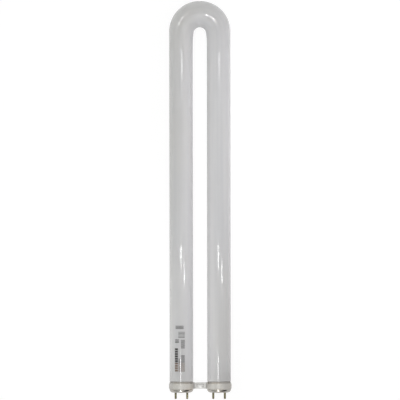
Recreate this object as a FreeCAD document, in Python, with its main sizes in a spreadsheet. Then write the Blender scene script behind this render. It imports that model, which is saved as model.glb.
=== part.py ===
"""U-bent fluorescent lamp, lying flat, with a two-pin base on each leg.

The U lies in the XY plane: the legs run along Y, the bend is at +Y and the pins point to -Y.
The origin is below the middle of the lamp, at the lowest point of the brace's collars.
Lengths along a leg are measured from the base face, towards the bend. Millimetres throughout.
"""
import FreeCAD, Part
import os
import Sketcher

os.makedirs("parts", exist_ok=True)
doc = FreeCAD.newDocument("u_bent_lamp")

# Driving dimensions, one cell each
SIZES = {
    # The glass tube
    "tube_diameter": 26.0,
    "leg_spacing": 41.3,
    "length_to_crown": 430.0,
    "glass_overlap": 5.0,  # how far the glass goes into the cap
    "neck_shoulder": 1.0,  # where the neck under the cap widens to the full tube
    "mouth_gap": 0.1,
    "rim_rounding": 1.25,
    # The inner arch of the bend, a little tighter than the gap between the legs
    "arch_pinch": 0.75,
    "arch_drop": 2.2,  # the arch's centre lies this far below the bend's own
    "bend_run_in": 22.0,  # the stretch of leg over which the arch eases into the gap
    "run_in_margin": 8.0,
    # The stem that closes each end of the glass
    "stem_depth": 9.5,
    "stem_radius": 3.6,
    "flare_curve": 14.0,
    "exhaust_radius": 2.0,
    "exhaust_clearance": 1.6,
    # The drawn metal end cap
    "cap_proud": 0.15,  # the cap's skirt stands this far proud of the tube
    "cap_wall": 0.4,
    "cap_height": 11.5,
    "cap_corner": 3.7,
    "least_flange": 0.45,  # flat left between the base opening and the rounded corner
    "opening_margin": 1.475,  # from the outside of a pin to the edge of the base opening
    "groove_below_mouth": 1.1,
    "groove_depth": 0.25,
    "groove_reach": 0.5,
    "mouth_draw": 0.2,
    "mouth_taper": 0.3,
    # The insulating disc and the ring of basing cement
    "disc_thickness": 2.6,
    "disc_gap": 0.4,
    "disc_recess": 0.2,
    "disc_ease": 0.05,
    "cement_thickness": 0.45,
    "cement_end_gap": 0.08,
    # The contact pins
    "pin_diameter": 2.35,
    "pin_length": 7.1,
    "pin_pitch": 12.7,
    "pin_shoulder": 0.2,
    "pin_wall": 0.325,
    "pin_tip_land": 0.045,
    "pin_crimp": 1.0,
    "pin_ease": 0.02,
    "rivet_lip": 0.7,
    "rivet_height": 0.5,
    # The lead wires
    "wire_diameter": 0.5,
    "wire_drop": 4.0,  # straight out of the stem's press
    "wire_swing": 6.0,  # the length over which it swings out to its pin
    "wire_ease": 0.03,
    "wire_recess": 0.2,
    # The pressed brace that ties the two caps together
    "strap_gauge": 0.5,
    "strap_ease": 0.05,
    "collar_start": 4.4,
    "collar_width": 5.5,
    "web_margin_below": 0.2,  # the web is wider than the collars, by this towards the base
    "web_margin_above": 1.3,  # and by this towards the bend
    "web_climb": 1.25,
    "web_bend": 1.5,
    "notch_corner": 0.8,
    "bead_half_length": 4.0,
    "bead_half_width": 1.75,
    "bead_height": 0.8,
    "bead_draft": 0.55,
}

sheet = doc.addObject("Spreadsheet::Sheet", "Sizes")
for row, (alias, number) in enumerate(SIZES.items(), start=1):
    sheet.set(f"A{row}", alias)
    sheet.set(f"B{row}", str(number))
    sheet.setAlias(f"B{row}", alias)
doc.recompute()

# Sizes that more than one piece follows, as expressions over the sheet's cells
TUBE_RADIUS = "(Sizes.tube_diameter / 2)"
LEG_X = "(Sizes.leg_spacing / 2)"
HALF_GAP = f"({LEG_X} - {TUBE_RADIUS})"
BASE_Y = "(-(Sizes.length_to_crown - Sizes.pin_length) / 2)"

CAP_RADIUS = f"({TUBE_RADIUS} + Sizes.cap_proud)"
CAP_INNER = f"({CAP_RADIUS} - Sizes.cap_wall)"
NECK_RADIUS = f"({CAP_INNER} - Sizes.cement_thickness)"
GLASS_END = "(Sizes.cap_height - Sizes.glass_overlap)"
RIM_TOP = f"({GLASS_END} + Sizes.rim_rounding)"
PRESS = f"({GLASS_END} + Sizes.stem_depth)"

PIN_RADIUS = "(Sizes.pin_diameter / 2)"
SHANK_RADIUS = f"({PIN_RADIUS} - Sizes.pin_shoulder)"
WIRE_RADIUS = "(Sizes.wire_diameter / 2)"
OPENING = f"(Sizes.pin_pitch / 2 + {PIN_RADIUS} + Sizes.opening_margin)"
CORNER = f"min(Sizes.cap_corner; {CAP_RADIUS} - {OPENING} - Sizes.least_flange)"
CORNER_START = f"({CAP_RADIUS} - {CORNER})"
DISC_TOP = "(Sizes.cap_wall + Sizes.disc_thickness)"

GROOVE = "(Sizes.cap_height - Sizes.groove_below_mouth)"
GROOVE_CURVE = "((Sizes.groove_reach^2 + Sizes.groove_depth^2) / (2 * Sizes.groove_depth))"
INNER_CURVE = f"({GROOVE_CURVE} + Sizes.cap_wall)"
INNER_REACH = f"sqrt({INNER_CURVE}^2 - ({INNER_CURVE} - Sizes.groove_depth)^2)"

COLLAR_INNER = f"({CAP_RADIUS} + Sizes.strap_ease)"
COLLAR_OUTER = f"({COLLAR_INNER} + Sizes.strap_gauge)"
AXIS_Z = COLLAR_OUTER

X_AXIS = FreeCAD.Vector(1, 0, 0)
Z_AXIS = FreeCAD.Vector(0, 0, 1)
LEFT, RIGHT = -1, 1
TURN_LEFT, TURN_RIGHT = 1, -1


def sketch_on(body, name, role):
    """A sketch on one of the body's own origin planes."""
    plane = next(feature for feature in body.Origin.OriginFeatures if feature.Role == role)
    sketch = body.newObject("Sketcher::SketchObject", name)
    sketch.AttachmentSupport = [(plane, "")]
    sketch.MapMode = "FlatFace"
    return sketch


def bind(sketch, kind, place, text):
    """Add one dimension to a sketch, driven by an expression over the sheet."""
    number = float(sketch.evalExpression(text))
    index = sketch.addConstraint(Sketcher.Constraint(kind, *place, number))
    sketch.setExpression(f"Constraints[{index}]", text)


def pin_point(sketch, place, x, y):
    """Hold one point of a sketch at a distance from its origin."""
    bind(sketch, "DistanceX", (-1, 1, *place), x)
    bind(sketch, "DistanceY", (-1, 1, *place), y)


def arc_between(start, end, radius, way):
    """The short arc from start to end, which turns left (1) or right (-1)."""
    chord = end - start
    to_centre = max(radius**2 - (chord.Length / 2) ** 2, 0) ** 0.5
    across = FreeCAD.Vector(-chord.y, chord.x, 0).normalize()
    centre = start + chord / 2 + across * to_centre * way
    ends = (start, end) if way > 0 else (end, start)
    angles = [(end - centre).getAngle(X_AXIS) * (1 if end.y >= centre.y else -1) for end in ends]
    return Part.ArcOfCircle(Part.Circle(centre, Z_AXIS, radius), *angles)


def draw(sketch, corners, closed=True):
    """Draw lines and arcs through corners, with every corner held by the sheet.

    A corner is (x, y) where a line leaves it, or (x, y, radius, way to turn) where an arc does.
    """
    points = [
        FreeCAD.Vector(*(float(sketch.evalExpression(text)) for text in corner[:2]), 0)
        for corner in corners
    ]
    last = len(corners) if closed else len(corners) - 1
    starts, ends = [], []
    for number in range(last):
        here, there = points[number], points[(number + 1) % len(points)]
        forward = True
        if len(corners[number]) == 2:
            sketch.addGeometry(Part.LineSegment(here, there), False)
        else:
            radius, way = corners[number][2:]
            forward = way == TURN_LEFT
            size = float(sketch.evalExpression(radius))
            sketch.addGeometry(arc_between(here, there, size, way), False)
            bind(sketch, "Radius", (number,), radius)
        starts.append((number, 1 if forward else 2))
        ends.append((number, 2 if forward else 1))
    for number in range(last if closed else last - 1):
        following = starts[(number + 1) % last]
        sketch.addConstraint(Sketcher.Constraint("Coincident", *ends[number], *following))
    for place, corner in zip(starts if closed else starts + [ends[-1]], corners):
        pin_point(sketch, place, *corner[:2])


def circle(sketch, x, radius):
    """A circle whose centre lies on the sketch's own X axis."""
    centre = FreeCAD.Vector(float(sketch.evalExpression(x)), 0, 0)
    ring = sketch.addGeometry(Part.Circle(centre, Z_AXIS, float(sketch.evalExpression(radius))), False)
    pin_point(sketch, (ring, 3), x, "0")
    bind(sketch, "Radius", (ring,), radius)


def new_body(label, x, y):
    """A body on the plane of the legs' axes, x across the lamp and y along it."""
    body = doc.addObject("PartDesign::Body", label)
    body.Label = label
    body.setExpression("Placement.Base.x", x)
    body.setExpression("Placement.Base.y", y)
    body.setExpression("Placement.Base.z", AXIS_Z)
    return body


def turn(body, corners):
    """Revolve a profile of (radius, length along the leg) about the body's own Y axis."""
    profile = sketch_on(body, body.Name + "_profile", "XY_Plane")
    draw(profile, corners)
    feature = body.newObject("PartDesign::Revolution", body.Name + "_turned")
    feature.Profile = profile
    feature.ReferenceAxis = (profile, ["V_Axis"])
    feature.Angle = 360


def cut_through(body, profile):
    """Cut a profile both ways through the whole body."""
    feature = body.newObject("PartDesign::Pocket", profile.Name + "_cut")
    feature.Profile = profile
    feature.Type = "ThroughAll"
    feature.SideType = "Symmetric"


# The glass tube: two straight legs and the bend between them, sealed as one piece
BEND_OUTER = f"({LEG_X} + {TUBE_RADIUS})"
BEND_CENTRE = f"(Sizes.length_to_crown - {BEND_OUTER})"
ARCH_RADIUS = f"({HALF_GAP} - Sizes.arch_pinch)"
BEND_STEPS = 12
RUN_IN_STEPS = 6
RUN_IN_EASE = 4
HALF_TURN = 180


def glass_leg(label, leg_x):
    """One leg as a turned form, with its necked end, stem flare and exhaust tip."""
    shoulder = "(Sizes.cap_height + Sizes.mouth_gap)"
    leg_top = f"({BEND_CENTRE} - Sizes.bend_run_in - Sizes.run_in_margin)"
    exhaust_tip = f"({DISC_TOP} + Sizes.exhaust_clearance)"
    body = new_body(label, leg_x, BASE_Y)
    turn(
        body,
        [
            ("0", exhaust_tip, "Sizes.exhaust_radius", TURN_LEFT),
            ("Sizes.exhaust_radius", f"{exhaust_tip} + Sizes.exhaust_radius"),
            ("Sizes.exhaust_radius", PRESS),
            ("Sizes.stem_radius", PRESS, "Sizes.flare_curve", TURN_LEFT),
            (f"{NECK_RADIUS} - 2 * Sizes.rim_rounding", RIM_TOP, "Sizes.rim_rounding", TURN_LEFT),
            (f"{NECK_RADIUS} - Sizes.rim_rounding", GLASS_END, "Sizes.rim_rounding", TURN_LEFT),
            (NECK_RADIUS, RIM_TOP),
            (NECK_RADIUS, shoulder),
            (TUBE_RADIUS, f"{shoulder} + Sizes.neck_shoulder"),
            (TUBE_RADIUS, leg_top),
            ("0", leg_top),
        ],
    )
    return body


def bend_section(name, inner, angle, below):
    """One oval section of the bend, from its inner edge to its outer one.

    angle goes round the bend from the right leg, in degrees. below is how far the section
    lies under the bend's centre, along the leg.
    """
    middle = f"(({BEND_OUTER} + {inner}) / 2)"
    half_width = f"({BEND_OUTER} - {inner}) / 2"
    oval = doc.addObject("Part::Ellipse", name)
    oval.Placement.Rotation = FreeCAD.Rotation(angle, 0, 90)
    oval.setExpression("MajorRadius", half_width)
    oval.setExpression("MinorRadius", f"min({TUBE_RADIUS}; {half_width})")
    oval.setExpression("Placement.Base.x", f"{middle} * cos({angle} deg)")
    along = f"{BEND_CENTRE} + {middle} * sin({angle} deg) - {below}"
    oval.setExpression("Placement.Base.y", f"{BASE_Y} + {along}")
    oval.setExpression("Placement.Base.z", AXIS_Z)
    return oval


def glass_bend():
    """The bend as a loft: it is round where it meets the legs and thickest across at the crown."""
    arch_foot = f"sqrt({ARCH_RADIUS}^2 - Sizes.arch_drop^2)"
    levels = []
    for step in range(1, RUN_IN_STEPS + 1):
        swell = f"({HALF_GAP} - {arch_foot}) * (1 - {step} / {RUN_IN_STEPS})^{RUN_IN_EASE}"
        levels.append((f"({HALF_GAP} - {swell})", f"(Sizes.bend_run_in * {step} / {RUN_IN_STEPS})"))
    for part_way in ("0.5", "1"):
        levels.append((HALF_GAP, f"(Sizes.bend_run_in + Sizes.run_in_margin * {part_way})"))

    right, arch, left = [], [], []
    for number, (inner, below) in enumerate(levels):
        right.append(bend_section(f"right_run_in_{number}", inner, 0, below))
        left.append(bend_section(f"left_run_in_{number}", inner, HALF_TURN, below))
    for step in range(BEND_STEPS + 1):
        angle = HALF_TURN * step / BEND_STEPS
        reach = f"sqrt({ARCH_RADIUS}^2 - (Sizes.arch_drop * cos({angle} deg))^2)"
        inner = f"({reach} - Sizes.arch_drop * sin({angle} deg))"
        arch.append(bend_section(f"bend_{step}", inner, angle, "0"))

    bend = doc.addObject("Part::Loft", "bend_stock")
    bend.Sections = right[::-1] + arch + left
    bend.Solid = True
    bend.Ruled = False
    return bend


def glass_tube():
    glass = doc.addObject("Part::MultiFuse", "glass_tube")
    glass.Label = "glass_tube"
    left_leg = glass_leg("left_leg_stock", f"-{LEG_X}")
    right_leg = glass_leg("right_leg_stock", LEG_X)
    glass.Shapes = [left_leg, glass_bend(), right_leg]
    glass.Refine = True
    return glass


# The end caps: drawn aluminium cups with a rolled groove, cemented over the glass neck
def end_cap(label, leg_x):
    taper_start = "(Sizes.cap_height - Sizes.mouth_taper)"
    body = new_body(label, leg_x, BASE_Y)
    turn(
        body,
        [
            (OPENING, "0"),
            (CORNER_START, "0", CORNER, TURN_LEFT),
            (CAP_RADIUS, CORNER),
            (CAP_RADIUS, f"{GROOVE} - Sizes.groove_reach", GROOVE_CURVE, TURN_RIGHT),
            (CAP_RADIUS, f"{GROOVE} + Sizes.groove_reach"),
            (CAP_RADIUS, taper_start),
            (f"{CAP_RADIUS} - Sizes.mouth_draw", "Sizes.cap_height"),
            (f"{CAP_INNER} - Sizes.mouth_draw", "Sizes.cap_height"),
            (CAP_INNER, taper_start),
            (CAP_INNER, f"{GROOVE} + {INNER_REACH}", INNER_CURVE, TURN_LEFT),
            (CAP_INNER, f"{GROOVE} - {INNER_REACH}"),
            (CAP_INNER, CORNER, f"({CORNER} - Sizes.cap_wall)", TURN_RIGHT),
            (CORNER_START, "Sizes.cap_wall"),
            (OPENING, "Sizes.cap_wall"),
        ],
    )
    return body


# The insulators: phenolic discs that carry the pins, seated on the cap's inner flange
def insulator(label, leg_x):
    rim = f"({CAP_INNER} - Sizes.disc_gap)"
    boss = f"({OPENING} - Sizes.disc_ease)"
    inner_corner = f"({CORNER} - Sizes.cap_wall)"
    chamfer_top = f"({CORNER} - sqrt({inner_corner}^2 - ({rim} - {CORNER_START})^2) + Sizes.disc_ease)"
    body = new_body(label, leg_x, BASE_Y)
    turn(
        body,
        [
            ("0", "Sizes.disc_recess"),
            (boss, "Sizes.disc_recess"),
            (boss, "Sizes.cap_wall"),
            (f"{CORNER_START} - Sizes.disc_ease", "Sizes.cap_wall"),
            (rim, chamfer_top),
            (rim, DISC_TOP),
            ("0", DISC_TOP),
        ],
    )
    holes = sketch_on(body, body.Name + "_pin_holes", "XZ_Plane")
    for side in (LEFT, RIGHT):
        circle(holes, f"{side} * Sizes.pin_pitch / 2", f"{SHANK_RADIUS} + Sizes.pin_ease")
    cut_through(body, holes)
    return body


# The cement: a ring between the glass neck and the cap's skirt, up to the groove
def basing_cement(label, leg_x):
    top = f"({GROOVE} - {INNER_REACH} - Sizes.cement_end_gap)"
    body = new_body(label, leg_x, BASE_Y)
    turn(body, [(NECK_RADIUS, RIM_TOP), (CAP_INNER, RIM_TOP), (CAP_INNER, top), (NECK_RADIUS, top)])
    return body


# The contact pins: hollow brass, shouldered on the disc and riveted over inside
def contact_pin(label, pin_x):
    bore = f"({SHANK_RADIUS} - Sizes.pin_wall)"
    tip = "(-Sizes.pin_length)"
    tip_hole = f"({WIRE_RADIUS} + Sizes.wire_ease)"
    nose = f"({PIN_RADIUS} - {tip_hole} - Sizes.pin_tip_land)"
    rivet_top = f"({DISC_TOP} + Sizes.rivet_height)"
    body = new_body(label, pin_x, BASE_Y)
    turn(
        body,
        [
            (tip_hole, tip),
            (f"{tip_hole} + Sizes.pin_tip_land", tip, nose, TURN_LEFT),
            (PIN_RADIUS, f"{tip} + {nose}"),
            (PIN_RADIUS, "Sizes.disc_recess"),
            (SHANK_RADIUS, "Sizes.disc_recess"),
            (SHANK_RADIUS, DISC_TOP),
            (f"{SHANK_RADIUS} + Sizes.rivet_lip", DISC_TOP),
            (f"{bore} + Sizes.rivet_lip", rivet_top),
            (bore, rivet_top),
            (bore, f"{tip} + Sizes.pin_crimp + {bore}"),
            (tip_hole, f"{tip} + Sizes.pin_crimp"),
        ],
    )
    return body


# The lead wires: from the stem's press to the pin's tip, with one soft swing outwards
def lead_wire(label, leg_x, side):
    start = "((Sizes.exhaust_radius + Sizes.stem_radius) / 2)"
    swing = f"(Sizes.pin_pitch / 2 - {start})"
    curve = f"(({swing}^2 + Sizes.wire_swing^2) / (4 * {swing}))"
    wire_x = f"{side} * {start}"
    pin_x = f"{side} * Sizes.pin_pitch / 2"
    half_way = f"{side} * ({start} + {swing} / 2)"
    body = new_body(label, leg_x, f"{BASE_Y} + {PRESS}")
    route = sketch_on(body, label + "_route", "XY_Plane")
    draw(
        route,
        [
            (wire_x, "0"),
            (wire_x, "-Sizes.wire_drop", curve, side),
            (half_way, "-Sizes.wire_drop - Sizes.wire_swing / 2", curve, -side),
            (pin_x, "-Sizes.wire_drop - Sizes.wire_swing"),
            (pin_x, f"-{PRESS} - Sizes.pin_length + Sizes.wire_recess"),
        ],
        closed=False,
    )
    section = sketch_on(body, label + "_section", "XZ_Plane")
    circle(section, wire_x, WIRE_RADIUS)
    feature = body.newObject("PartDesign::AdditivePipe", label + "_drawn")
    feature.Profile = section
    feature.Spine = route
    return body


# The brace: two pressed aluminium straps, back to back, each with a half collar round both caps
THROAT = f"({COLLAR_OUTER} + Sizes.web_bend)"
RISE = "(Sizes.strap_gauge + Sizes.web_bend)"
RUN = f"sqrt({THROAT}^2 - {RISE}^2)"
FLANK_X = f"({LEG_X} - {COLLAR_OUTER} * {RUN} / {THROAT})"
WEB_WIDTH = "(Sizes.web_margin_below + Sizes.collar_width + Sizes.web_margin_above)"


def strap_section(body, face):
    """The strap seen along the legs: two half collars joined by a flat web at the axes' plane."""
    bend_x = f"({LEG_X} - {RUN})"
    under_x = f"({LEG_X} - {COLLAR_INNER} * {RUN} / {THROAT})"
    flank_z = f"{face} * {COLLAR_OUTER} * {RISE} / {THROAT}"
    under_z = f"{face} * {COLLAR_INNER} * {RISE} / {THROAT}"
    web_z = f"{face} * Sizes.strap_gauge"
    crest, crest_under = f"{face} * {COLLAR_OUTER}", f"{face} * {COLLAR_INNER}"
    section = sketch_on(body, body.Name + "_section", "XZ_Plane")
    draw(
        section,
        [
            (f"{LEG_X} + {COLLAR_INNER}", "0"),
            (f"{LEG_X} + {COLLAR_OUTER}", "0", COLLAR_OUTER, face),
            (LEG_X, crest, COLLAR_OUTER, face),
            (FLANK_X, flank_z, "Sizes.web_bend", -face),
            (bend_x, web_z),
            (f"-{bend_x}", web_z, "Sizes.web_bend", -face),
            (f"-{FLANK_X}", flank_z, COLLAR_OUTER, face),
            (f"-{LEG_X}", crest, COLLAR_OUTER, face),
            (f"-({LEG_X} + {COLLAR_OUTER})", "0"),
            (f"-({LEG_X} + {COLLAR_INNER})", "0", COLLAR_INNER, -face),
            (f"-{LEG_X}", crest_under, COLLAR_INNER, -face),
            (f"-{under_x}", under_z, RISE, face),
            (f"-{bend_x}", "0"),
            (bend_x, "0", RISE, face),
            (under_x, under_z, COLLAR_INNER, -face),
            (LEG_X, crest_under, COLLAR_INNER, -face),
        ],
    )
    return section


def blank_notch(body, name, side, edge, away):
    """Narrow the blank at a collar, beyond edge, with a rounded corner beside the web."""
    shoulder = f"({FLANK_X} + Sizes.web_climb)"
    beyond = f"({LEG_X} + 2 * {COLLAR_OUTER})"
    limit = f"{edge} + {away} * 2 * {WEB_WIDTH}"
    corner_start = f"{edge} + {away} * Sizes.notch_corner"
    notch = sketch_on(body, name, "XY_Plane")
    draw(
        notch,
        [
            (f"{side} * {shoulder}", limit),
            (f"{side} * {shoulder}", corner_start, "Sizes.notch_corner", side * away),
            (f"{side} * ({shoulder} + Sizes.notch_corner)", edge),
            (f"{side} * {beyond}", edge),
            (f"{side} * {beyond}", limit),
        ],
    )
    cut_through(body, notch)


def bead_outline(body, name, inset, height):
    """The bead's outline at one height: straight sides and round ends, in the middle of the web."""
    middle = f"({WEB_WIDTH} / 2)"
    half_width = f"(Sizes.bead_half_width - {inset})"
    straight = "(Sizes.bead_half_length - Sizes.bead_half_width)"
    outline = sketch_on(body, name, "XY_Plane")
    outline.setExpression("AttachmentOffset.Base.z", height)
    draw(
        outline,
        [
            (f"-{straight}", f"{middle} - {half_width}"),
            (straight, f"{middle} - {half_width}", half_width, TURN_LEFT),
            (f"{straight} + {half_width}", middle, half_width, TURN_LEFT),
            (straight, f"{middle} + {half_width}"),
            (f"-{straight}", f"{middle} + {half_width}", half_width, TURN_LEFT),
            (f"-({straight} + {half_width})", middle, half_width, TURN_LEFT),
        ],
    )
    return outline


def brace(label, face):
    """One strap. Its collars and bead stand out towards +Z where face is 1, and -Z where it is -1."""
    body = new_body(label, "0", f"{BASE_Y} + Sizes.collar_start - Sizes.web_margin_below")
    section = strap_section(body, face)
    strap = body.newObject("PartDesign::Pad", label + "_strap")
    strap.Profile = section
    strap.Reversed = True
    strap.setExpression("Length", WEB_WIDTH)

    lower = "Sizes.web_margin_below"
    upper = "(Sizes.web_margin_below + Sizes.collar_width)"
    for name, side in (("left", LEFT), ("right", RIGHT)):
        blank_notch(body, f"{label}_{name}_lower_notch", side, lower, -1)
        blank_notch(body, f"{label}_{name}_upper_notch", side, upper, 1)

    bead = body.newObject("PartDesign::AdditiveLoft", label + "_bead")
    bead.Profile = bead_outline(body, label + "_bead_foot", "0", f"{face} * Sizes.strap_gauge")
    bead_top = f"{face} * (Sizes.strap_gauge + Sizes.bead_height)"
    bead.Sections = [bead_outline(body, label + "_bead_top", "Sizes.bead_draft", bead_top)]

    hollow = body.newObject("PartDesign::SubtractiveLoft", label + "_bead_hollow")
    hollow.Profile = bead_outline(body, label + "_hollow_foot", "Sizes.strap_gauge", "0")
    inset = "(Sizes.strap_gauge + Sizes.bead_draft)"
    hollow_top = f"{face} * Sizes.bead_height"
    hollow.Sections = [bead_outline(body, label + "_hollow_top", inset, hollow_top)]
    return body


pieces = [glass_tube()]
for name, leg_x, outward in (("left", f"-{LEG_X}", LEFT), ("right", LEG_X, RIGHT)):
    pieces.append(end_cap(f"{name}_end_cap", leg_x))
    pieces.append(insulator(f"{name}_insulator", leg_x))
    pieces.append(basing_cement(f"{name}_basing_cement", leg_x))
    for place, side in (("outer", outward), ("inner", -outward)):
        pin_x = f"{leg_x} + {side} * Sizes.pin_pitch / 2"
        pieces.append(contact_pin(f"{name}_{place}_contact_pin", pin_x))
        pieces.append(lead_wire(f"{name}_{place}_lead_wire", leg_x, side))
pieces.append(brace("front_brace", 1))
pieces.append(brace("rear_brace", -1))

doc.recompute()
for item in doc.Objects:
    if {"Invalid", "Error"} & set(item.State):
        raise RuntimeError(f"{item.Label} failed: {item.State}")
for piece in pieces:
    if piece.Shape.isNull() or not piece.Shape.isValid() or len(piece.Shape.Solids) != 1:
        raise RuntimeError(f"{piece.Label} is not one sound solid")
for piece in pieces:
    piece.Shape.exportStep(f"parts/{piece.Label}.step")
    print(f"{piece.Label}: {piece.Shape.Volume:.2f} mm3")
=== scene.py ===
import math

import bmesh
import bpy
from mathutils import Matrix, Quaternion, Vector


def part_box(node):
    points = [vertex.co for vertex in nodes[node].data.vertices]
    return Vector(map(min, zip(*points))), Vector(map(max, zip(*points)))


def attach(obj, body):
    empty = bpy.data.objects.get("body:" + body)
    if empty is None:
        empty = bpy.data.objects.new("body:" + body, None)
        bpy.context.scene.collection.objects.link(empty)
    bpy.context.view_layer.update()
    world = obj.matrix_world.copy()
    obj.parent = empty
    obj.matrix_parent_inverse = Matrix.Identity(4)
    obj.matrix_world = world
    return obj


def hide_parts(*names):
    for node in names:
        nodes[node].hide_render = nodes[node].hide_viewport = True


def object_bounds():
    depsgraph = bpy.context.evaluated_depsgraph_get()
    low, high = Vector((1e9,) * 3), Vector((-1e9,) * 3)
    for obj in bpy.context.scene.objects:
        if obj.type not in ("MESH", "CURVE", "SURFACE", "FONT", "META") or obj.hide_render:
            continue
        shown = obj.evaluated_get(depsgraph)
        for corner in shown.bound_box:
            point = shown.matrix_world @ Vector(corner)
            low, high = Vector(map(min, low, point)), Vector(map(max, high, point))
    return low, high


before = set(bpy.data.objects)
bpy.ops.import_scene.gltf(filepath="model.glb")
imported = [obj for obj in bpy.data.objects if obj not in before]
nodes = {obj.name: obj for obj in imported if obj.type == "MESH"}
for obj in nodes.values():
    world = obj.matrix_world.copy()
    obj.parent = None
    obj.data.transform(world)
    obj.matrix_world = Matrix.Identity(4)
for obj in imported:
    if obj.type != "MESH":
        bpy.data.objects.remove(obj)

cad_low, cad_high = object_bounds()


# The glass tube is one piece of soda-lime glass, bent hot in its middle, with both ends necked in
# to go into the caps and closed by flared stems. A pale phosphor is washed down its inside. Towards
# the caps its colour is painted lighter, a painted lift of light where the shading comes out dimmer.
# Just inside each cap's mouth the coat is brushed off, and that darker band is also painted shade in
# the crevice at the mouth.
cap_low, cap_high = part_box("right_end_cap")
LEG_X = (cap_low.x + cap_high.x) / 2
AXIS_Z = (cap_low.z + cap_high.z) / 2
BASE_Y = cap_low.y
CROWN_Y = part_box("glass_tube")[1].y
MM = 0.001

TUBE_RADIUS = 13 * MM
NECK_RADIUS = 12.3 * MM
CAP_MOUTH = cap_high.y - cap_low.y
SHOULDER = CAP_MOUTH + 0.1 * MM
SHOULDER_LENGTH = 1.0 * MM
GLASS_END = CAP_MOUTH - 5.0 * MM
RIM_ROUNDING = 1.25 * MM
STEM_PRESS = GLASS_END + 9.5 * MM
STEM_RADIUS = 3.6 * MM
FLARE_CURVE = 14 * MM
EXHAUST_RADIUS = 2 * MM
EXHAUST_TIP = 4.6 * MM

BEND_OUTER = LEG_X + TUBE_RADIUS
BEND_CENTRE = CROWN_Y - BASE_Y - BEND_OUTER
HALF_GAP = LEG_X - TUBE_RADIUS
ARCH_PINCH = 0.75 * MM
ARCH_RADIUS = HALF_GAP - ARCH_PINCH
ARCH_DROP = 2.2 * MM
RUN_IN = 22 * MM
GUARD = 0.3 * MM
SIDES = 128
BEND_STATIONS = 72
RUN_IN_STATIONS = 16
LEG_STATIONS = 24
TIP_FACETS = 8
FLARE_FACETS = 12
RIM_FACETS = 14
SHOULDER_FACETS = 8


def round_stretch(centre, radius, start, end, steps):
    """Points along an arc of a profile, from one angle to another in degrees, ends included."""
    angles = [math.radians(start + (end - start) * step / steps) for step in range(steps + 1)]
    return [(centre[0] + radius * math.cos(a), centre[1] + radius * math.sin(a)) for a in angles]


def angle_from(centre, point):
    return math.degrees(math.atan2(point[1] - centre[1], point[0] - centre[0])) % 360


def leg_end_profile():
    """The closed end of a leg as (radius, length from the base face), from the exhaust tip outwards."""
    rim_top = GLASS_END + RIM_ROUNDING
    flare_foot = (STEM_RADIUS, STEM_PRESS)
    flare_lip = (NECK_RADIUS - 2 * RIM_ROUNDING, rim_top)
    chord = (flare_lip[0] - flare_foot[0], flare_lip[1] - flare_foot[1])
    half_chord = math.hypot(*chord) / 2
    lift = math.sqrt(FLARE_CURVE**2 - half_chord**2) / (2 * half_chord)
    flare_centre = (
        flare_foot[0] + chord[0] / 2 - chord[1] * lift,
        flare_foot[1] + chord[1] / 2 + chord[0] * lift,
    )
    flare_angles = [angle_from(flare_centre, point) for point in (flare_foot, flare_lip)]
    tip_centre = (0, EXHAUST_TIP + EXHAUST_RADIUS)
    rim_centre = (NECK_RADIUS - RIM_ROUNDING, rim_top)
    profile = round_stretch(tip_centre, EXHAUST_RADIUS, -90, 0, TIP_FACETS)
    profile += [(EXHAUST_RADIUS, STEM_PRESS)]
    profile += round_stretch(flare_centre, FLARE_CURVE, *flare_angles, FLARE_FACETS)
    profile += round_stretch(rim_centre, RIM_ROUNDING, 180, 360, RIM_FACETS)[1:]
    for step in range(SHOULDER_FACETS + 1):
        part_way = step / SHOULDER_FACETS
        swell = part_way * part_way * (3 - 2 * part_way)
        radius = NECK_RADIUS + (TUBE_RADIUS - NECK_RADIUS) * swell
        profile.append((radius, SHOULDER + SHOULDER_LENGTH * part_way))
    return profile


def tube_stations():
    """The tube's cross-sections from one exhaust tip to the other.

    Each is (turn round the bend, inner edge, outer edge, depth, distance below the bend's centre).
    """
    leg = [(LEG_X - r, LEG_X + r, r, BEND_CENTRE - along) for r, along in leg_end_profile()]
    straight = BEND_CENTRE - RUN_IN - (SHOULDER + SHOULDER_LENGTH)
    # A ring just past the shoulder keeps its slope out of the shading of the straight wall.
    leg.append((HALF_GAP, BEND_OUTER, TUBE_RADIUS, RUN_IN + straight - GUARD))
    for step in range(1, LEG_STATIONS + 1):
        below = RUN_IN + straight * (1 - step / LEG_STATIONS)
        leg.append((HALF_GAP, BEND_OUTER, TUBE_RADIUS, below))
    arch_foot = math.sqrt(ARCH_RADIUS**2 - ARCH_DROP**2)
    for step in range(1, RUN_IN_STATIONS):
        part_way = step / RUN_IN_STATIONS
        inner = HALF_GAP - (HALF_GAP - arch_foot) * part_way**4
        leg.append((inner, BEND_OUTER, TUBE_RADIUS, RUN_IN * (1 - part_way)))
    right = [(0, *section) for section in leg]
    left = [(math.pi, *section) for section in reversed(leg)]
    bend = []
    for step in range(BEND_STATIONS + 1):
        turn = math.pi * step / BEND_STATIONS
        reach = math.sqrt(ARCH_RADIUS**2 - (ARCH_DROP * math.cos(turn)) ** 2)
        bend.append((turn, reach - ARCH_DROP * math.sin(turn), BEND_OUTER, TUBE_RADIUS, 0))
    return right + bend + left


def mesh_object(name, vertices, faces, sharp_angle):
    """A smooth-shaded mesh in the row frame, with edges sharper than the angle left crisp."""
    mesh = bpy.data.meshes.new(name)
    mesh.from_pydata(vertices, [], faces)
    shape = bmesh.new()
    shape.from_mesh(mesh)
    bmesh.ops.recalc_face_normals(shape, faces=shape.faces)
    shape.to_mesh(mesh)
    shape.free()
    mesh.shade_smooth()
    mesh.set_sharp_from_angle(angle=math.radians(sharp_angle))
    made = bpy.data.objects.new(name, mesh)
    bpy.context.scene.collection.objects.link(made)
    return made


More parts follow.
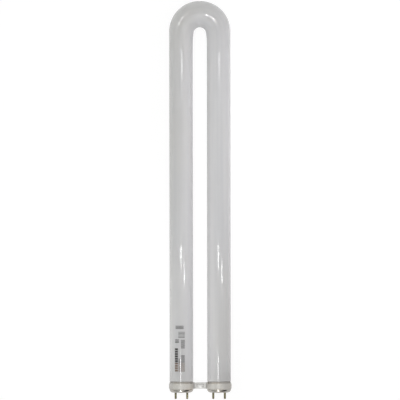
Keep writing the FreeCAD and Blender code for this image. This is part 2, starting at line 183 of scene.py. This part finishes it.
def bent_tube(name):
    """The whole tube as rings of vertices, each of which also keeps its place on the unbent tube."""
    stations = tube_stations()
    vertices, unbent, faces = [], [], []
    length = 0
    before = None
    for turn, inner, outer, depth, below in stations:
        middle, half_width = (inner + outer) / 2, (outer - inner) / 2
        outward = Vector((math.cos(turn), math.sin(turn), 0))
        centre = outward * middle + Vector((0, BASE_Y + BEND_CENTRE - below, AXIS_Z))
        if before is not None:
            length += (centre - before).length
        before = centre
        for side in range(SIDES):
            angle = math.tau * side / SIDES
            across, up = math.cos(angle), math.sin(angle)
            vertices.append(centre + outward * half_width * across + Vector((0, 0, depth * up)))
            unbent.append((half_width * across, length, depth * up))
    for ring in range(len(stations) - 1):
        for side in range(SIDES):
            following = (side + 1) % SIDES
            low, high = ring * SIDES, (ring + 1) * SIDES
            faces.append((low + side, low + following, high + following, high + side))
    tube = mesh_object(name, vertices, faces, sharp_angle=40)
    place = tube.data.attributes.new("unbent_place", "FLOAT_VECTOR", "POINT")
    place.data.foreach_set("vector", [number for point in unbent for number in point])
    shape = bmesh.new()
    shape.from_mesh(tube.data)
    bmesh.ops.remove_doubles(shape, verts=shape.verts, dist=1e-7)
    shape.to_mesh(tube.data)
    shape.free()
    return tube


def new_finish(name):
    """A node material for one finish, with its node tree and its Principled shader."""
    finish = bpy.data.materials.new(name)
    finish.use_nodes = True
    return finish, finish.node_tree, finish.node_tree.nodes["Principled BSDF"]


def add(tree, kind, inputs=None, **settings):
    """Add one shader node. An input that is another node's socket is linked, and others are set."""
    made = tree.nodes.new("ShaderNode" + kind)
    for name, setting in settings.items():
        setattr(made, name, setting)
    for socket, given in (inputs or {}).items():
        if isinstance(given, bpy.types.NodeSocket):
            tree.links.new(given, made.inputs[socket])
        else:
            made.inputs[socket].default_value = given
    return made


def place_on_lamp(tree):
    """Each point's own place in the row frame, in metres."""
    return add(tree, "TexCoord").outputs["Object"]


def noise(tree, place, scale, stretch=(1, 1, 1), detail=3, roughness=0.55):
    """Noise of about one feature in each 1/scale metres, drawn out along an axis by a low stretch."""
    squeezed = add(tree, "Mapping", {"Vector": place, "Scale": stretch}).outputs[0]
    sockets = {"Vector": squeezed, "Scale": scale, "Detail": detail, "Roughness": roughness}
    return add(tree, "TexNoise", sockets).outputs[0]


def spread(tree, given, low, high, to_low=0.0, to_high=1.0):
    """Map a range of a number onto another, held at its ends."""
    sockets = {0: given, 1: low, 2: high, 3: to_low, 4: to_high}
    return add(tree, "MapRange", sockets, interpolation_type="SMOOTHSTEP").outputs[0]


def blend_colours(tree, share, first, second):
    """Colour between first and second. Each is a socket or three linear numbers."""
    colours = [c if isinstance(c, bpy.types.NodeSocket) else (*c, 1) for c in (first, second)]
    sockets = {0: share, 6: colours[0], 7: colours[1]}
    return add(tree, "Mix", sockets, data_type="RGBA").outputs[2]


def times(tree, first, second):
    return add(tree, "Math", {0: first, 1: second}, operation="MULTIPLY").outputs[0]


def relief(tree, shader, height, strength, rise):
    """Shade the surface as if a noise stood up from it by the rise, which is in metres."""
    bump = add(tree, "Bump", {"Height": height, "Strength": strength, "Distance": rise})
    tree.links.new(bump.outputs[0], shader.inputs["Normal"])
    return bump.outputs[0]


def dress(node_name, finish):
    """Give one carried-over node its finish."""
    nodes[node_name].data.materials.clear()
    nodes[node_name].data.materials.append(finish)


PHOSPHOR = (0.567, 0.565, 0.57)
PHOSPHOR_THIN = (0.53, 0.533, 0.545)
PHOSPHOR_WARM = (0.56, 0.55, 0.53)
# A painted lift of light for the tube near the caps, where its shading comes out dimmer.
PHOSPHOR_PAINTED_LIFT = (0.62, 0.615, 0.615)
PHOSPHOR_GRAIN = (0.48, 0.48, 0.475)
# A darker band at the cap's mouth: the glass brushed clear of coat, and painted shade in the crevice
# there.
PHOSPHOR_BRUSHED_AND_SHADED = (0.40, 0.385, 0.36)
PAINTED_LIFT_SHARE = 0.8
BRUSHED_AND_SHADED_REACH = 0.4 * MM
BRUSHED_AND_SHADED_UNEVEN = 0.8 * MM
CLEAR_OF_CAP = 20 * MM
LIGHT_WANDERS = 80 * MM


def coated_glass():
    finish, tree, shader = new_finish("coated_glass")
    unbent = add(tree, "Attribute", attribute_name="unbent_place").outputs["Vector"]
    place = place_on_lamp(tree)
    washed = noise(tree, unbent, 260, stretch=(1, 0.012, 1), detail=5)
    clouded = noise(tree, unbent, 30, stretch=(1, 0.35, 1))
    grain = noise(tree, unbent, 2600, detail=2)
    colour = blend_colours(tree, spread(tree, washed, 0.35, 0.7), PHOSPHOR, PHOSPHOR_THIN)
    warm_share = times(tree, spread(tree, clouded, 0.4, 0.75), 0.5)
    colour = blend_colours(tree, warm_share, colour, PHOSPHOR_WARM)
    grain_share = times(tree, spread(tree, grain, 0.3, 0.8), 0.12)
    colour = blend_colours(tree, grain_share, colour, PHOSPHOR_GRAIN)

    along = add(tree, "SeparateXYZ", {0: place}).outputs["Y"]
    mouth = BASE_Y + SHOULDER + SHOULDER_LENGTH
    # Painted light: the colour is lifted towards the caps, where the shading comes out dimmer.
    lifted_near_cap = spread(tree, along, mouth, mouth + CLEAR_OF_CAP, PAINTED_LIFT_SHARE, 0.0)
    colour = blend_colours(tree, lifted_near_cap, colour, PHOSPHOR_PAINTED_LIFT)
    # A darker band at the cap's mouth: partly the glass brushed clear of coat, partly painted shade in
    # the crevice.
    uneven = times(tree, noise(tree, place, 160), BRUSHED_AND_SHADED_UNEVEN)
    from_end = add(tree, "Math", {0: along, 1: uneven}, operation="ADD").outputs[0]
    brushed_and_shaded = spread(tree, from_end, mouth, mouth + BRUSHED_AND_SHADED_REACH, 1.0, 0.0)
    colour = blend_colours(tree, brushed_and_shaded, colour, PHOSPHOR_BRUSHED_AND_SHADED)
    tree.links.new(colour, shader.inputs["Base Color"])
    # The coat lets light wander far inside the tube, but less and less towards the dark cap.
    wandering = spread(tree, along, mouth, mouth + CLEAR_OF_CAP, 0.0, 1.0)
    tree.links.new(wandering, shader.inputs["Subsurface Weight"])

    wavy = noise(tree, unbent, 55, stretch=(1, 0.4, 1), detail=1)
    waves = relief(tree, shader, wavy, 1.0, 0.03 * MM)
    tree.links.new(waves, shader.inputs["Coat Normal"])
    shader.inputs["Roughness"].default_value = 0.75
    shader.inputs["Specular IOR Level"].default_value = 0.1
    shader.inputs["Subsurface Radius"].default_value = (1, 1, 1)
    shader.inputs["Subsurface Scale"].default_value = LIGHT_WANDERS
    shader.inputs["Coat Weight"].default_value = 1.0
    shader.inputs["Coat Roughness"].default_value = 0.05
    shader.inputs["Coat IOR"].default_value = 1.5
    return finish


tube = bent_tube("coated_glass_tube")
tube.data.materials.append(coated_glass())
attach(tube, "root")
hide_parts("glass_tube")


# The print near the left base is black ink, stamped on the glass and baked. It is plain rows of
# blocks and strokes, which brown towards the cap, where the ink is thin.
INK_LIFT = 0.03 * MM
INK_BLACK = (0.022, 0.021, 0.02)
INK_GREY = (0.13, 0.12, 0.115)
INK_BROWN = (0.20, 0.15, 0.12)
INK_TURNS_BROWN = 34 * MM
INK_TURN_LENGTH = 2 * MM

# Each row of strokes: its two edges in degrees from the leg's top line, where it starts and ends in
# millimetres from the base's face, how many strokes it has, and how much of each pitch is inked
BOLD_BLOCKS = (-33, -17, 23.5, 49.4, 10, 0.82)
SIDE_STROKES = (-14, -6, 23.5, 38, 15, 0.5)
LOWER_COLUMN = (-1, 17, 23.5, 41.8, 20, 0.5)
UPPER_COLUMN = (-2, 17, 48.9, 58.6, 10, 0.5)
SHORT_STROKES = (-32, -12, 55.0, 59.2, 3, 0.5)
FINE_STROKES = (-15, 17, 60.6, 67.8, 5, 0.35)
END_STROKES = (-29, 11, 70.2, 74.2, 3, 0.5)
STROKE_FACETS = 8


def printed_strokes(rows):
    """All the strokes as thin curved strips that lie just clear of the left leg."""
    vertices, faces = [], []
    lifted = TUBE_RADIUS + INK_LIFT
    for left_edge, right_edge, start, end, count, inked in rows:
        pitch = (end - start) * MM / count
        for stroke in range(count):
            low = BASE_Y + start * MM + pitch * stroke
            first = len(vertices)
            for facet in range(STROKE_FACETS + 1):
                lean = math.radians(left_edge + (right_edge - left_edge) * facet / STROKE_FACETS)
                x = -LEG_X + lifted * math.sin(lean)
                z = AXIS_Z + lifted * math.cos(lean)
                vertices += [Vector((x, low, z)), Vector((x, low + pitch * inked, z))]
            for facet in range(STROKE_FACETS):
                corner = first + 2 * facet
                faces.append((corner, corner + 2, corner + 3, corner + 1))
    return mesh_object("printed_strokes", vertices, faces, sharp_angle=60)


def baked_ink():
    finish, tree, shader = new_finish("baked_ink")
    place = place_on_lamp(tree)
    along = add(tree, "SeparateXYZ", {0: place}).outputs["Y"]
    turning = BASE_Y + INK_TURNS_BROWN
    browned = spread(tree, along, turning - INK_TURN_LENGTH, turning, 1.0, 0.0)
    worn = spread(tree, noise(tree, place, 1500, detail=2), 0.45, 0.7)
    ink = blend_colours(tree, times(tree, worn, 0.5), INK_BLACK, INK_GREY)
    tree.links.new(blend_colours(tree, browned, ink, INK_BROWN), shader.inputs["Base Color"])
    shader.inputs["Roughness"].default_value = 0.45
    return finish


strokes = printed_strokes(
    [
        BOLD_BLOCKS,
        SIDE_STROKES,
        LOWER_COLUMN,
        UPPER_COLUMN,
        SHORT_STROKES,
        FINE_STROKES,
        END_STROKES,
    ]
)
strokes.data.materials.append(baked_ink())
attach(strokes, "root")


# The end caps are drawn aluminium cups, rolled with a groove below the mouth and cemented over the
# glass necks. The satin skin shows fine draw lines along the wall and dull clouding from handling.
ALUMINIUM = (0.475, 0.46, 0.435)
ALUMINIUM_ROSY = (0.485, 0.445, 0.395)
ALUMINIUM_DULL = (0.40, 0.385, 0.36)
SATIN_METAL = 0.5
SATIN_ROUGHNESS = 0.25
BURNISHED_METAL = 0.95
BURNISHED_ROUGHNESS = 0.16
BURNISHED_FROM = 2.8 * MM
BURNISHED_TO = 4.0 * MM


def satin_aluminium(name, bright, rosy, dull, roughness):
    """Drawn or pressed aluminium: cloudy, with fine lines along the lamp and small scratches."""
    finish, tree, shader = new_finish(name)
    place = place_on_lamp(tree)
    clouds = noise(tree, place, 90)
    blotches = noise(tree, place, 380)
    lines = noise(tree, place, 3800, stretch=(1, 0.05, 1), detail=2)
    colour = blend_colours(tree, spread(tree, clouds, 0.4, 0.65), bright, rosy)
    dull_share = times(tree, spread(tree, blotches, 0.5, 0.8), 0.4)
    colour = blend_colours(tree, dull_share, colour, dull)
    tree.links.new(colour, shader.inputs["Base Color"])
    rough = spread(tree, blotches, 0.3, 0.75, roughness - 0.02, roughness + 0.05)
    tree.links.new(rough, shader.inputs["Roughness"])
    relief(tree, shader, lines, 0.5, 0.0015 * MM)
    shader.inputs["Metallic"].default_value = SATIN_METAL
    return finish


def burnish_corner(finish):
    """Strip the satin skin off the rounded corner, where the drawing punch has polished it."""
    tree = finish.node_tree
    shader = tree.nodes["Principled BSDF"]
    along = add(tree, "SeparateXYZ", {0: place_on_lamp(tree)}).outputs["Y"]
    from_to = (BASE_Y + BURNISHED_FROM, BASE_Y + BURNISHED_TO)
    metal = spread(tree, along, *from_to, BURNISHED_METAL, SATIN_METAL)
    rough = spread(tree, along, *from_to, BURNISHED_ROUGHNESS, SATIN_ROUGHNESS)
    tree.links.new(metal, shader.inputs["Metallic"])
    tree.links.new(rough, shader.inputs["Roughness"])


cap_colours = (ALUMINIUM, ALUMINIUM_ROSY, ALUMINIUM_DULL)
cap_finish = satin_aluminium("cap_aluminium", *cap_colours, SATIN_ROUGHNESS)
burnish_corner(cap_finish)
for side in ("left", "right"):
    dress(f"{side}_end_cap", cap_finish)


# The insulators are moulded phenolic discs that carry the pins. They show as a matt tan face in
# each cap's opening, flecked with the paper and wood flour that fills the resin.
PHENOLIC = (0.235, 0.115, 0.05)
PHENOLIC_PALE = (0.36, 0.20, 0.10)
PHENOLIC_DARK = (0.12, 0.055, 0.025)


def phenolic():
    finish, tree, shader = new_finish("phenolic")
    place = place_on_lamp(tree)
    flecks = noise(tree, place, 2200, stretch=(1, 1, 0.4))
    clouds = noise(tree, place, 300)
    colour = blend_colours(tree, spread(tree, clouds, 0.35, 0.7), PHENOLIC, PHENOLIC_PALE)
    fleck_share = times(tree, spread(tree, flecks, 0.55, 0.7), 0.7)
    colour = blend_colours(tree, fleck_share, colour, PHENOLIC_DARK)
    tree.links.new(colour, shader.inputs["Base Color"])
    relief(tree, shader, flecks, 0.6, 0.02 * MM)
    tree.links.new(spread(tree, flecks, 0.3, 0.7, 0.5, 0.7), shader.inputs["Roughness"])
    return finish


insulator_finish = phenolic()
for side in ("left", "right"):
    dress(f"{side}_insulator", insulator_finish)


# The basing cement is a ring of resin and marble flour between each glass neck and its cap. It goes
# into the cap as a paste and sets in the heat, rough and grainy.
CEMENT = (0.50, 0.42, 0.30)
CEMENT_PALE = (0.62, 0.56, 0.45)


def basing_cement():
    finish, tree, shader = new_finish("basing_cement")
    grains = noise(tree, place_on_lamp(tree), 1600, detail=5, roughness=0.7)
    colour = blend_colours(tree, spread(tree, grains, 0.4, 0.65), CEMENT, CEMENT_PALE)
    tree.links.new(colour, shader.inputs["Base Color"])
    relief(tree, shader, grains, 1.0, 0.06 * MM)
    shader.inputs["Roughness"].default_value = 0.9
    return finish


cement_finish = basing_cement()
for side in ("left", "right"):
    dress(f"{side}_basing_cement", cement_finish)


# The contact pins are hollow brass, riveted over inside the discs. They have gone dull and olive,
# with darker patches and brighter rubbed places.
BRASS = (0.23, 0.21, 0.125)
BRASS_DARK = (0.10, 0.09, 0.053)
BRASS_RUBBED = (0.38, 0.345, 0.21)


def dull_brass():
    finish, tree, shader = new_finish("dull_brass")
    place = place_on_lamp(tree)
    patina = noise(tree, place, 900, stretch=(1, 0.4, 1), detail=5)
    rubbed = noise(tree, place, 2600, stretch=(1, 0.12, 1))
    colour = blend_colours(tree, spread(tree, patina, 0.4, 0.65), BRASS, BRASS_DARK)
    rubbed_share = times(tree, spread(tree, rubbed, 0.5, 0.7), 0.5)
    colour = blend_colours(tree, rubbed_share, colour, BRASS_RUBBED)
    tree.links.new(colour, shader.inputs["Base Color"])
    tree.links.new(spread(tree, patina, 0.3, 0.7, 0.3, 0.5), shader.inputs["Roughness"])
    relief(tree, shader, rubbed, 0.5, 0.006 * MM)
    shader.inputs["Metallic"].default_value = 0.95
    return finish


pin_finish = dull_brass()
for side in ("left", "right"):
    for place_on_cap in ("outer", "inner"):
        dress(f"{side}_{place_on_cap}_contact_pin", pin_finish)


# The lead wires are drawn nickel-iron, a little oxidised by the heat of sealing. They come out of
# the stem's press and end in the pins' tips, where they are crimped.
WIRE = (0.42, 0.40, 0.37)
WIRE_OXIDE = (0.20, 0.17, 0.15)


def drawn_wire():
    finish, tree, shader = new_finish("drawn_wire")
    place = place_on_lamp(tree)
    drawn = noise(tree, place, 4000, stretch=(1, 0.08, 1), detail=2)
    oxide = noise(tree, place, 500, detail=4)
    colour = blend_colours(tree, spread(tree, oxide, 0.45, 0.7), WIRE, WIRE_OXIDE)
    tree.links.new(colour, shader.inputs["Base Color"])
    relief(tree, shader, drawn, 0.5, 0.004 * MM)
    tree.links.new(spread(tree, oxide, 0.4, 0.7, 0.3, 0.55), shader.inputs["Roughness"])
    shader.inputs["Metallic"].default_value = 1.0
    return finish


wire_finish = drawn_wire()
for side in ("left", "right"):
    for place_on_cap in ("outer", "inner"):
        dress(f"{side}_{place_on_cap}_lead_wire", wire_finish)


# The brace is two pressed aluminium straps, back to back, that clasp both caps with their collars.
# Their flat web, duller than the collars, keeps the legs apart. A pressed bead stiffens it, and a
# bright oval on the bead is a painted highlight.
SHEET = (0.54, 0.525, 0.50)
SHEET_WARM = (0.55, 0.52, 0.475)
SHEET_DULL = (0.49, 0.475, 0.445)
SHEET_OF_WEB = (0.42, 0.415, 0.405)
# The colour of a painted highlight on the web's bead.
SHEET_PAINTED_HIGHLIGHT = (0.66, 0.655, 0.645)
SHEET_ROUGHNESS = 0.36
WEB_HALF_LENGTH = 7.0 * MM
WEB_EDGE = 0.4 * MM
PAINTED_HIGHLIGHT_UP = 6.3 * MM
PAINTED_HIGHLIGHT_HALF_LENGTH = 3.0 * MM
PAINTED_HIGHLIGHT_HALF_WIDTH = 1.3 * MM
PAINTED_HIGHLIGHT_CORE = 0.45


def shade_web(finish):
    """Dull the sheet over the flat web, and paint a highlight as a soft-edged oval in the web's middle.
    """
    tree = finish.node_tree
    shader = tree.nodes["Principled BSDF"]
    sheet = shader.inputs["Base Color"].links[0].from_socket
    place = place_on_lamp(tree)
    sideways = add(tree, "SeparateXYZ", {0: place}).outputs["X"]
    sideways = add(tree, "Math", {0: sideways}, operation="ABSOLUTE").outputs[0]
    web_end = (WEB_HALF_LENGTH - WEB_EDGE, WEB_HALF_LENGTH + WEB_EDGE)
    on_web = spread(tree, sideways, *web_end, 1, 0)
    sheet = blend_colours(tree, on_web, sheet, SHEET_OF_WEB)
    # The painted highlight: a bright soft-edged oval on the web's bead.
    to_middle = (0, -(BASE_Y + PAINTED_HIGHLIGHT_UP) / PAINTED_HIGHLIGHT_HALF_WIDTH, 0)
    across = (1 / PAINTED_HIGHLIGHT_HALF_LENGTH, 1 / PAINTED_HIGHLIGHT_HALF_WIDTH, 0)
    sockets = {"Vector": place, "Location": to_middle, "Scale": across}
    oval = add(tree, "Mapping", sockets).outputs[0]
    distance = add(tree, "VectorMath", {0: oval}, operation="LENGTH").outputs["Value"]
    highlighted = spread(tree, distance, PAINTED_HIGHLIGHT_CORE, 1.0, 1, 0)
    tree.links.new(blend_colours(tree, highlighted, sheet, SHEET_PAINTED_HIGHLIGHT), shader.inputs["Base Color"])


sheet_colours = (SHEET, SHEET_WARM, SHEET_DULL)
brace_finish = satin_aluminium("brace_aluminium", *sheet_colours, SHEET_ROUGHNESS)
shade_web(brace_finish)
for face in ("front", "rear"):
    dress(f"{face}_brace", brace_finish)


# The lamp lies on a plain white sheet. The sheet keeps the lamp's shadow, faint in the picture and
# plainer in the gloss of the glass and the metal.
FLOOR_HALF = 4.0
FLOOR_WHITE = 0.90
CAMERA_SHADE = 0.16
CAMERA_GLOW = 0.90
GLOSS_SHADE = 0.50
GLOSS_GLOW = 0.50


def seen_rays(tree):
    """Two numbers: 1 for the camera's rays, and 1 for those in gloss and through clear glass."""
    path = add(tree, "LightPath").outputs
    gloss = {0: path["Is Glossy Ray"], 1: path["Is Transmission Ray"]}
    return path["Is Camera Ray"], add(tree, "Math", gloss, operation="MAXIMUM").outputs[0]


def shaded_and_glowing(tree, grey, glow):
    """A white surface that takes a part of its brightness from the light and shines for the rest."""
    shaded = add(tree, "BsdfDiffuse", {"Color": (grey, grey, grey, 1)}).outputs[0]
    shining = add(tree, "Emission", {"Color": (1, 1, 1, 1), "Strength": glow}).outputs[0]
    return add(tree, "AddShader", {0: shaded, 1: shining}).outputs[0]


def white_sheet():
    finish, tree, shader = new_finish("white_sheet")
    tree.nodes.remove(shader)
    camera_ray, gloss_ray = seen_rays(tree)
    white = (FLOOR_WHITE, FLOOR_WHITE, FLOOR_WHITE, 1)
    plain = add(tree, "BsdfDiffuse", {"Color": white}).outputs[0]
    in_gloss = shaded_and_glowing(tree, GLOSS_SHADE, GLOSS_GLOW)
    in_picture = shaded_and_glowing(tree, CAMERA_SHADE, CAMERA_GLOW)
    mixed = add(tree, "MixShader", {0: gloss_ray, 1: plain, 2: in_gloss}).outputs[0]
    mixed = add(tree, "MixShader", {0: camera_ray, 1: mixed, 2: in_picture}).outputs[0]
    output = next(node for node in tree.nodes if node.type == "OUTPUT_MATERIAL")
    tree.links.new(mixed, output.inputs["Surface"])
    return finish


corners = [Vector((x, y, 0)) * FLOOR_HALF for x, y in ((-1, -1), (1, -1), (1, 1), (-1, 1))]
floor = mesh_object("floor", corners, [(0, 1, 2, 3)], sharp_angle=60)
floor.data.materials.append(white_sheet())


# The room is white all round, a touch green from the left, and a little weaker and rosier from the
# right, where +X points. Gloss shows a doorway beyond the pins, dark on the right and faint on the
# left: without it the metal would have no depth.
LEFT_LIGHT = 0.62
RIGHT_LIGHT = 0.48
LEFT_TINT = (1.0, 1.012, 0.97)
RIGHT_TINT = (1.0, 0.99, 0.98)

# How bright the doorway is on each side. Its place is in the X, Y and Z of a direction one unit
# long: its middle and half width in Y, its top in Z, and the change from faint to dark in X.
DOORWAY = 0.0
FAINT_DOORWAY = 0.5
DOORWAY_MIDDLE = -0.62
DOORWAY_REACH = 0.42
DOORWAY_TOP = 0.85
DARK_FROM = 0.12
DARK_TO = 0.30
SOFT_SIDE = 0.6
SOFT_TOP = 0.7


def even_room():
    room = bpy.data.worlds.new("even_room")
    room.use_nodes = True
    tree = room.node_tree
    tree.nodes.clear()
    way = add(tree, "SeparateXYZ", {0: add(tree, "TexCoord").outputs["Generated"]}).outputs
    away = add(tree, "Math", {0: way["Y"], 1: -DOORWAY_MIDDLE}, operation="ADD").outputs[0]
    away = add(tree, "Math", {0: away}, operation="ABSOLUTE").outputs[0]
    in_width = spread(tree, away, DOORWAY_REACH * SOFT_SIDE, DOORWAY_REACH, 1, 0)
    in_height = spread(tree, way["Z"], DOORWAY_TOP * SOFT_TOP, DOORWAY_TOP, 1, 0)
    in_doorway = times(tree, in_width, in_height)
    to_right = spread(tree, way["X"], DARK_FROM, DARK_TO)
    left_out = add(tree, "Mix", {0: to_right, 2: 1 - FAINT_DOORWAY, 3: 1 - DOORWAY})
    lost = times(tree, in_doorway, left_out.outputs[0])
    in_gloss = add(tree, "Math", {0: 1.0, 1: lost}, operation="SUBTRACT").outputs[0]
    camera_ray, gloss_ray = seen_rays(tree)
    plain = spread(tree, way["X"], -1, 1, LEFT_LIGHT, RIGHT_LIGHT)
    strength = add(tree, "Mix", {0: gloss_ray, 2: plain, 3: in_gloss}).outputs[0]
    strength = add(tree, "Math", {0: strength, 1: camera_ray}, operation="MAXIMUM").outputs[0]
    tint = blend_colours(tree, spread(tree, way["X"], -1, 1), LEFT_TINT, RIGHT_TINT)
    tint = blend_colours(tree, camera_ray, tint, (1, 1, 1))
    background = add(tree, "Background", {"Color": tint, "Strength": strength})
    add(tree, "OutputWorld", {"Surface": background.outputs[0]})
    return room


bpy.context.scene.world = even_room()


# Bright panels overhead make the thin streaks on the glass, and one beyond the pins makes a glint on
# the caps. They show in gloss only. Soft lamps, which show in no gloss, light it all from above, the
# gap and the web from close by, the left leg's flank near the base and the right leg's near the bend.
PANEL_HEIGHT = AXIS_Z + 1.2

# Each overhead panel's place, its size in metres, its turn in degrees, and its brightness
STREAKS = {
    "upper_streak": ((0.13, 0.186), (0.32, 0.034), 0, 6.5),
    "upper_streak_fade": ((0.13, 0.150), (0.32, 0.036), 0, 1.6),
    "bend_streak": ((0.068, 0.3225), (0.078, 0.105), -36, 44),
    "middle_streak": ((-0.09, -0.078), (0.26, 0.030), 0, 14),
    "middle_right_streak": ((0.68, -0.104), (0.34, 0.020), 0, 20),
    "lower_streak": ((-0.18, -0.230), (0.24, 0.036), 0, 10),
}


def panel(name, place, aim, size, brightness, turn=0, tint=(1, 1, 1)):
    """A flat lamp that faces its aim. A brightness of 1 is that of a white wall in full light."""
    lamp = bpy.data.lights.new(name, "AREA")
    lamp.shape = "RECTANGLE"
    lamp.size, lamp.size_y = size
    lamp.color = tint
    lamp.energy = brightness * size[0] * size[1] * math.pi
    held = bpy.data.objects.new(name, lamp)
    bpy.context.scene.collection.objects.link(held)
    held.location = place
    turned = Quaternion((0, 0, 1), math.radians(turn))
    facing = (Vector(aim) - Vector(place)).to_track_quat("-Z", "Y")
    held.rotation_euler = (turned @ facing).to_euler()
    held.visible_camera = False
    return held


streaks_seen = [
    panel(name, (x, y, PANEL_HEIGHT), (x, y, 0), size, brightness, turn)
    for name, ((x, y), size, turn, brightness) in STREAKS.items()
]
FAR_LEFT = (-0.73, 0.69, PANEL_HEIGHT)
streaks_seen.append(panel("bend_left_streak", FAR_LEFT, (0, 0.2, 0), (0.32, 0.22), 8))

BEYOND_PINS = (-0.10, -1.1, 0.70)
GLINT_SPREAD_DEGREES = 16
cap_glint = panel("cap_glint", BEYOND_PINS, (0, BASE_Y, 0), (0.25, 0.30), 0.30)
cap_glint.data.spread = math.radians(GLINT_SPREAD_DEGREES)
for seen_in_gloss in (*streaks_seen, cap_glint):
    seen_in_gloss.visible_diffuse = False

CEILING = (0, 0, 1.4)
OVER_GAP = (0, 0.002, AXIS_Z + 0.022)
OVER_WEB = (0, BASE_Y + 4.5 * MM, AXIS_Z + 0.022)
LOW_LEFT = (-0.14, -0.165, 0.13)
HIGH_RIGHT = (0.17, 0.085, 0.15)
LEFT_LEG = (-LEG_X, LOW_LEFT[1], AXIS_Z)
RIGHT_LEG = (LEG_X, HIGH_RIGHT[1], AXIS_Z)
ROSY = (1.0, 0.99, 1.02)
ROSIER = (1.0, 0.985, 1.02)
BLUE = (0.98, 0.98, 1.03)
VIOLET = (0.985, 0.975, 1.04)
WEB_SPREAD_DEGREES = 100

soft_lamps = [
    panel("ceiling_lamp", CEILING, (0, 0, 0), (0.9, 1.1), 0.73, tint=ROSY),
    panel("gap_lamp", OVER_GAP, (0, OVER_GAP[1], 0), (0.014, 0.39), 0.90, tint=ROSIER),
    panel("web_lamp", OVER_WEB, (0, OVER_WEB[1], 0), (0.02, 0.010), 1.5),
    panel("low_left_lamp", LOW_LEFT, LEFT_LEG, (0.14, 0.06), 1.6, tint=BLUE),
    panel("high_right_lamp", HIGH_RIGHT, RIGHT_LEG, (0.24, 0.08), 2.0, tint=VIOLET),
]
for soft_lamp in soft_lamps:
    soft_lamp.visible_glossy = False
bpy.data.lights["web_lamp"].spread = math.radians(WEB_SPREAD_DEGREES)


# The camera looks straight down from far off, through a long lens. The bend's crown and the pins'
# tips come to these rows of the picture, which is 400 pixels each way.
PICTURE = 400
CROWN_ROW = 0.97
TIP_ROW = 398.95
LENS = 400
SENSOR = 36
ROLL_DEGREES = -0.08

per_row = (cad_high.y - cad_low.y) / (TIP_ROW - CROWN_ROW)
camera_height = PICTURE * per_row * LENS / SENSOR
lens = bpy.data.cameras.new("overhead_camera")
lens.lens = LENS
lens.sensor_width = SENSOR
lens.clip_end = 20
camera = bpy.data.objects.new("overhead_camera", lens)
bpy.context.scene.collection.objects.link(camera)
camera.location = (0, cad_high.y - (PICTURE / 2 - CROWN_ROW) * per_row, AXIS_Z + camera_height)
camera.rotation_euler = (0, 0, math.radians(ROLL_DEGREES))
bpy.context.scene.camera = camera

bpy.context.scene.view_settings.view_transform = "Standard"
